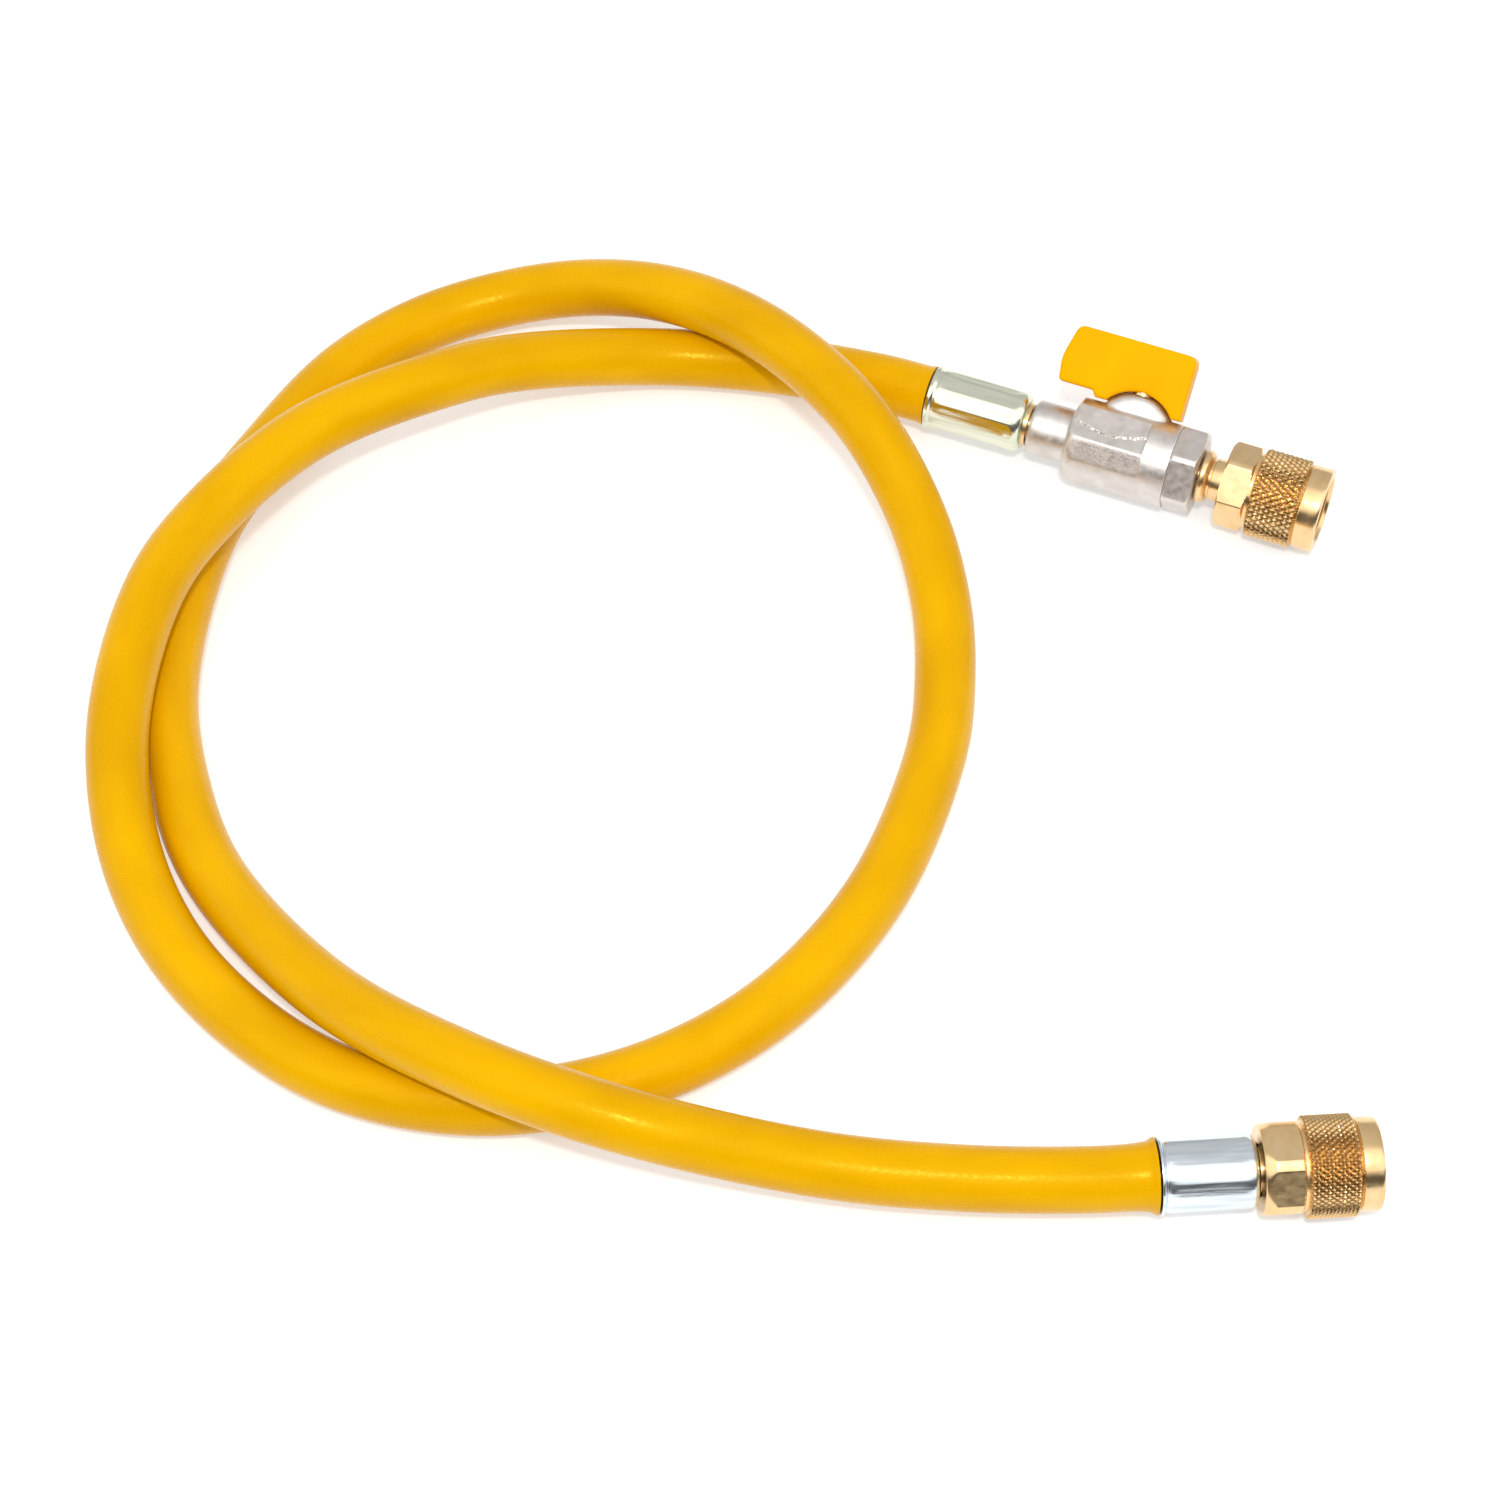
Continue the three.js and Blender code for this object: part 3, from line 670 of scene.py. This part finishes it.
points, faces = ferrule(
    [(0, 5.2), (0, 5.8, 0.1), (0.35, 5.8, 0.12), (0.8, 5.2, 0.2), (1.4, 5.5, 0.4), (14.4, 5.5, 1.7),
     (14.4, 3.85, 0.2), (12.7, 3.85), (12.7, 2.6), (3, 2.6), (3, 5.2)],
    14, 5.4, 1.4, 13.3, 6,
)
ferrule_b = piece("crimp_ferrule_b", points, faces, END_PLACE, "hose_and_valve", ZINC_B)
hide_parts("ferrule_b")


# Turned brass: hose tails and nipple
TURNED_FACETS = 128


def turned(name, outline, place, node):
    points, faces = revolved(eased(outline), TURNED_FACETS)
    made = piece(name, points, faces, place, "hose_and_valve", BRASS)
    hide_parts(node)


def swivel_end(back):
    """Outline of the end that holds a nut: a flange in the socket and the cone seat's tube."""
    flange = back + SOCKET_START + 0.3
    return [(flange, 3.55), (flange, 4.7, 0.15), (flange + 2, 4.7, 0.15), (flange + 2, 1.95),
            (flange + 3.9, 1.95, 0.15), (flange + 3.9, 1.4, 0.1)]


turned(
    "brass_tail_a",
    [(-34.15, 1.4), (-34.15, 2.3), (-19.05, 2.3), (-19.05, 3.6, 0.2), (-16.75, 3.6, 0.2),
     (-16.75, 2.5), (-11.55, 2.5), (-11.55, 1.4)],
    VALVE_PLACE,
    "tail_a",
)
turned(
    "brass_tail_b",
    [(0, 1.4), (0, 2.3), (12.7, 2.3), (12.7, 3.55, 0.2)] + swivel_end(NUT_B_BACK),
    END_PLACE,
    "tail_b",
)
turned(
    "brass_nipple",
    [(10.0, 1.4), (10.0, 2.5), (13.0, 2.5), (13.0, 4.3, 0.1), (13.3, 4.5, 0.15), (13.9, 4.4, 0.2),
     (14.55, 3.9, 0.1), (14.65, 3.2), (14.95, 3.2), (15.05, 3.55, 0.1)] + swivel_end(NUT_A_BACK),
    VALVE_PLACE,
    "nipple",
)

# End cap: a blasted hexagon with chamfered corners
CAP_FACETS, CAP_FLATS, CAP_TURN = 360, 13.0, -13
side = hexagon_radius(CAP_FACETS, CAP_FLATS, CAP_TURN)
outline = dense(
    eased([(8.13, 4.5), (8.13, 7.1, 0.1), (8.5, 7.28, 0.15), (12.3, 7.28, 0.3), (12.7, 6.7, 0.3),
           (12.7, 2.8, 0.1), (9.7, 2.8), (9.7, 2.1), (5.6, 2.1), (5.6, 4.5)]),
    0.3,
)
rows = []
for x, r in outline:
    ring = np.full(CAP_FACETS, r)
    rows.append((x, smooth_min(ring, side, 0.12) if r > 5.5 else ring))
points, faces = revolved(rows, CAP_FACETS)
end_cap = piece("hexagon_cap", points, faces, VALVE_PLACE, "hose_and_valve", NICKEL, 40)
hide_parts("end_cap")

# Valve body: a forging with soft edges, its flats ending in steps at a plain round band
BODY_RADIUS, BODY_START, BODY_END, FLATS_END = 7.05, -9.75, 8.1, 3.4
PORT_START, PORT_RADIUS = -16.45, 4.6
UPPER_FLAT, LOWER_FLAT = (33.5, 6.15), (-12.5, 6.85)
PAD_RISE = 0.3
DOME_CENTRE, DOME_RADIUS, BONNET_RADIUS, BONNET_HALF_WIDTH = 3.2, 6.75, 5.6, 3.0
DOME_CLOSING = 0.22  # the dome all but fills the arch
STEM_HOLE_RADIUS, PORT_BORE, SHANK_BORE, CAVITY_RADIUS = 1.95, 2.1, 2.8, 4.8
SHANK_BORE_END, CAVITY_START = -11.25, -5.6
FORGING_STEP = 0.18


def over_flat(p, side_sign, flat):
    """Height above a wrench flat, given as its angle and its distance from the pipe's axis."""
    a = math.radians(flat[0])
    return side_sign * p[:, 1] * math.cos(a) + p[:, 2] * math.sin(a) - flat[1]


def valve_field(p):
    x, y, z = p[:, 0], p[:, 1], p[:, 2]
    pipe = np.hypot(y, z)
    body = smooth_max(pipe - BODY_RADIUS, BODY_START - x, 2.2)
    for side_sign in (-1, 1):
        for flat in (UPPER_FLAT, LOWER_FLAT):
            cut = smooth_min(over_flat(p, side_sign, flat), FLATS_END - x, 0.12)
            body = smooth_max(body, cut, 0.1)
        # Raised lens-shaped pad on the upper face
        low_edge = 2.15 + 1.25 * ((x + 3) / 6.2) ** 2
        pad = smooth_max(over_flat(p, side_sign, UPPER_FLAT) - PAD_RISE, low_edge - z, 0.15)
        pad = np.maximum(pad, np.maximum(-9.0 - x, x - FLATS_END))
        pad = np.maximum(pad, np.maximum(pipe - BODY_RADIUS, 0.5 - side_sign * y))
        body = smooth_min(body, pad, 0.12)
    ball_shape = np.sqrt(x * x + y * y + (z - DOME_CENTRE) ** 2) - DOME_RADIUS - DOME_CLOSING
    dome = smooth_max(ball_shape, np.hypot(x, y) - BONNET_RADIUS, 0.3)
    dome = smooth_max(dome, np.abs(y) - BONNET_HALF_WIDTH, 1.6)
    body = smooth_min(body, np.maximum(dome, -z), 0.4)
    body = smooth_max(body, x - BODY_END, 0.15)
    port = smooth_max(pipe - PORT_RADIUS, PORT_START - x, 0.9)
    body = smooth_min(body, np.maximum(port, x), 0.2)
    holes = np.minimum(np.maximum(pipe - SHANK_BORE, x - SHANK_BORE_END), pipe - PORT_BORE)
    holes = np.minimum(holes, np.maximum(pipe - CAVITY_RADIUS, CAVITY_START - x))
    holes = np.minimum(holes, np.maximum(np.hypot(x, y) - STEM_HOLE_RADIUS, -z))
    return np.maximum(body, -holes)


points, faces = nets(valve_field, (-16.6, -7.4, -7.4), (8.3, 7.4, 10.1), FORGING_STEP)
valve_body = piece(
    "valve_forging", points, faces, VALVE_PLACE, "hose_and_valve", [NICKEL, NICKEL_GRAIN], 42
)
centres = points[faces].mean(1)
grain = np.zeros(len(faces), int)
for side_sign in (-1, 1):
    on_flat = np.abs(over_flat(centres, side_sign, LOWER_FLAT)) < 0.04
    on_flat &= (centres[:, 0] < FLATS_END - 0.1) & (centres[:, 0] > BODY_START + 0.8)
    grain[on_flat] = 1
valve_body.data.polygons.foreach_set("material_index", grain)
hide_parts("valve_body")

# Handle: a flat lever, arched over the bonnet
ARCH_RADIUS, FOOT, HEEL = DOME_RADIUS + 0.3, 7.4, 7.5
BLADE_HALF_WIDTH, STEM_SOCKET_RADIUS, STEM_SOCKET_TOP = 2.5, 2.2, 14.9
LEVER_STEP = 0.2
foot_in = math.sqrt(ARCH_RADIUS**2 - (FOOT - DOME_CENTRE) ** 2)
heel_in = -math.sqrt(ARCH_RADIUS**2 - (HEEL - DOME_CENTRE) ** 2)
sweep = np.linspace(
    math.atan2(HEEL - DOME_CENTRE, heel_in), math.atan2(FOOT - DOME_CENTRE, foot_in), 16
)
arch = [(ARCH_RADIUS * math.cos(t), DOME_CENTRE + ARCH_RADIUS * math.sin(t)) for t in sweep]
lever_outline = (
    [(-14.7, 12.5, 1.5), (-14.1, 8.5, 0.8), (heel_in - 2.55, 8.5, 0.4), (heel_in - 1.95, HEEL, 0.3)]
    + arch
    + [(foot_in + 1.6, FOOT, 0.35), (foot_in + 1.6, 18.3, 1.8), (-13.2, 18.3, 1.3)]
)
lever_outline = np.array(eased(lever_outline, 6))


def polygon_distance(points, outline):
    """Signed distance to the outline's edge, below 0 inside."""
    best = np.full(len(points), 1e9)
    inside = np.zeros(len(points), bool)
    for a, b in zip(outline, np.roll(outline, -1, axis=0)):
        e = b - a
        w = points - a
        t = np.clip((w @ e) / (e @ e), 0, 1)
        best = np.minimum(best, np.linalg.norm(w - t[:, None] * e, axis=1))
        crosses = (a[1] > points[:, 1]) != (b[1] > points[:, 1])
        with np.errstate(divide="ignore", invalid="ignore"):
            reach = a[0] + (points[:, 1] - a[1]) / e[1] * e[0]
        inside ^= crosses & (points[:, 0] < reach)
    return np.where(inside, -best, best)


def lever_field(p):
    flat = polygon_distance(p[:, [0, 2]], lever_outline)
    blade = smooth_max(flat, np.abs(p[:, 1]) - BLADE_HALF_WIDTH, 0.6)
    from_stem = np.hypot(p[:, 0], p[:, 1])
    hole = np.maximum(from_stem - STEM_SOCKET_RADIUS, p[:, 2] - STEM_SOCKET_TOP)
    return np.maximum(blade, -hole)


points, faces = nets(lever_field, (-14.9, -2.7, 7.1), (7.7, 2.7, 18.6), LEVER_STEP)
lever = piece("lever_blade", points, faces, VALVE_PLACE, "lever", HANDLE_PLASTIC, 60)
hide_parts("handle")

# CAD pieces that stay as they are inside the fittings
for node, material in (
    ("ball", BALL_CHROME),
    ("seat_inlet", SEAT_PLASTIC),
    ("seat_outlet", SEAT_PLASTIC),
    ("stem", BRASS),
    ("seal_a", SEAL_RUBBER),
    ("seal_b", SEAL_RUBBER),
):
    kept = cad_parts[node]
    kept.data.materials.clear()
    kept.data.materials.append(material)

# Floor and light
floor_mesh = bpy.data.meshes.new("floor")
floor_mesh.from_pydata([(-3, -3, 0), (3, -3, 0), (3, 3, 0), (-3, 3, 0)], [], [(0, 1, 2, 3)])
floor = bpy.data.objects.new("floor", floor_mesh)
floor.location.z = -0.0002
scene.collection.objects.link(floor)
floor_look = bpy.data.materials.new("floor")
floor_look.use_nodes = True
floor_shader = floor_look.node_tree.nodes["Principled BSDF"]
floor_shader.inputs["Base Color"].default_value = (0.62, 0.62, 0.62, 1)
floor_shader.inputs["Roughness"].default_value = 0.9
floor_shader.inputs["Specular IOR Level"].default_value = 0.1
floor_shader.inputs["Emission Color"].default_value = (1, 1, 1, 1)
floor_shader.inputs["Emission Strength"].default_value = 0.42
floor_mesh.materials.append(floor_look)

world = bpy.data.worlds.new("studio")
scene.world = world
world.use_nodes = True
nodes, links = world.node_tree.nodes, world.node_tree.links
coordinates = nodes.new("ShaderNodeTexCoord")
split = nodes.new("ShaderNodeSeparateXYZ")
links.new(coordinates.outputs["Generated"], split.inputs[0])
# Studio light as brightness over the angle up from the front horizon, in degrees, to the back
SKY = [
    (0, 0.35),
    (3, 0.35),
    (6, 0.07),
    (32, 0.09),
    (39, 0.45),
    (46, 0.95),
    (60, 1),
    (92, 1),
    (104, 0.5),
    (180, 0.38),
]
SKY_STRENGTH = 1.5
turned_y = nodes.new("ShaderNodeMath")
turned_y.operation = "MULTIPLY"
turned_y.inputs[1].default_value = -1
links.new(split.outputs["Y"], turned_y.inputs[0])
rise = nodes.new("ShaderNodeMath")
rise.operation = "ARCTAN2"
links.new(split.outputs["Z"], rise.inputs[0])
links.new(turned_y.outputs[0], rise.inputs[1])
share = nodes.new("ShaderNodeMath")
share.operation = "DIVIDE"
share.inputs[1].default_value = math.pi
links.new(rise.outputs[0], share.inputs[0])
sky = nodes.new("ShaderNodeValToRGB")
while len(sky.color_ramp.elements) < len(SKY):
    sky.color_ramp.elements.new(0.5)
for element, (degrees, level) in zip(sky.color_ramp.elements, SKY):
    element.position = degrees / 180
    element.color = (level, level, level, 1)
links.new(share.outputs[0], sky.inputs["Fac"])
links.new(sky.outputs["Color"], nodes["Background"].inputs["Color"])
nodes["Background"].inputs["Strength"].default_value = SKY_STRENGTH


def softbox(name, place, aim, size, power):
    light = bpy.data.lights.new(name, "AREA")
    light.shape = "RECTANGLE"
    light.size, light.size_y = size
    light.energy = power
    made = bpy.data.objects.new(name, light)
    scene.collection.objects.link(made)
    made.location = place
    made.rotation_euler = (Vector(aim) - Vector(place)).to_track_quat("-Z", "Y").to_euler()


softbox("front_lamp", (-0.06, -0.42, 0.86), (-0.06, 0, 0), (0.09, 0.05), 4)
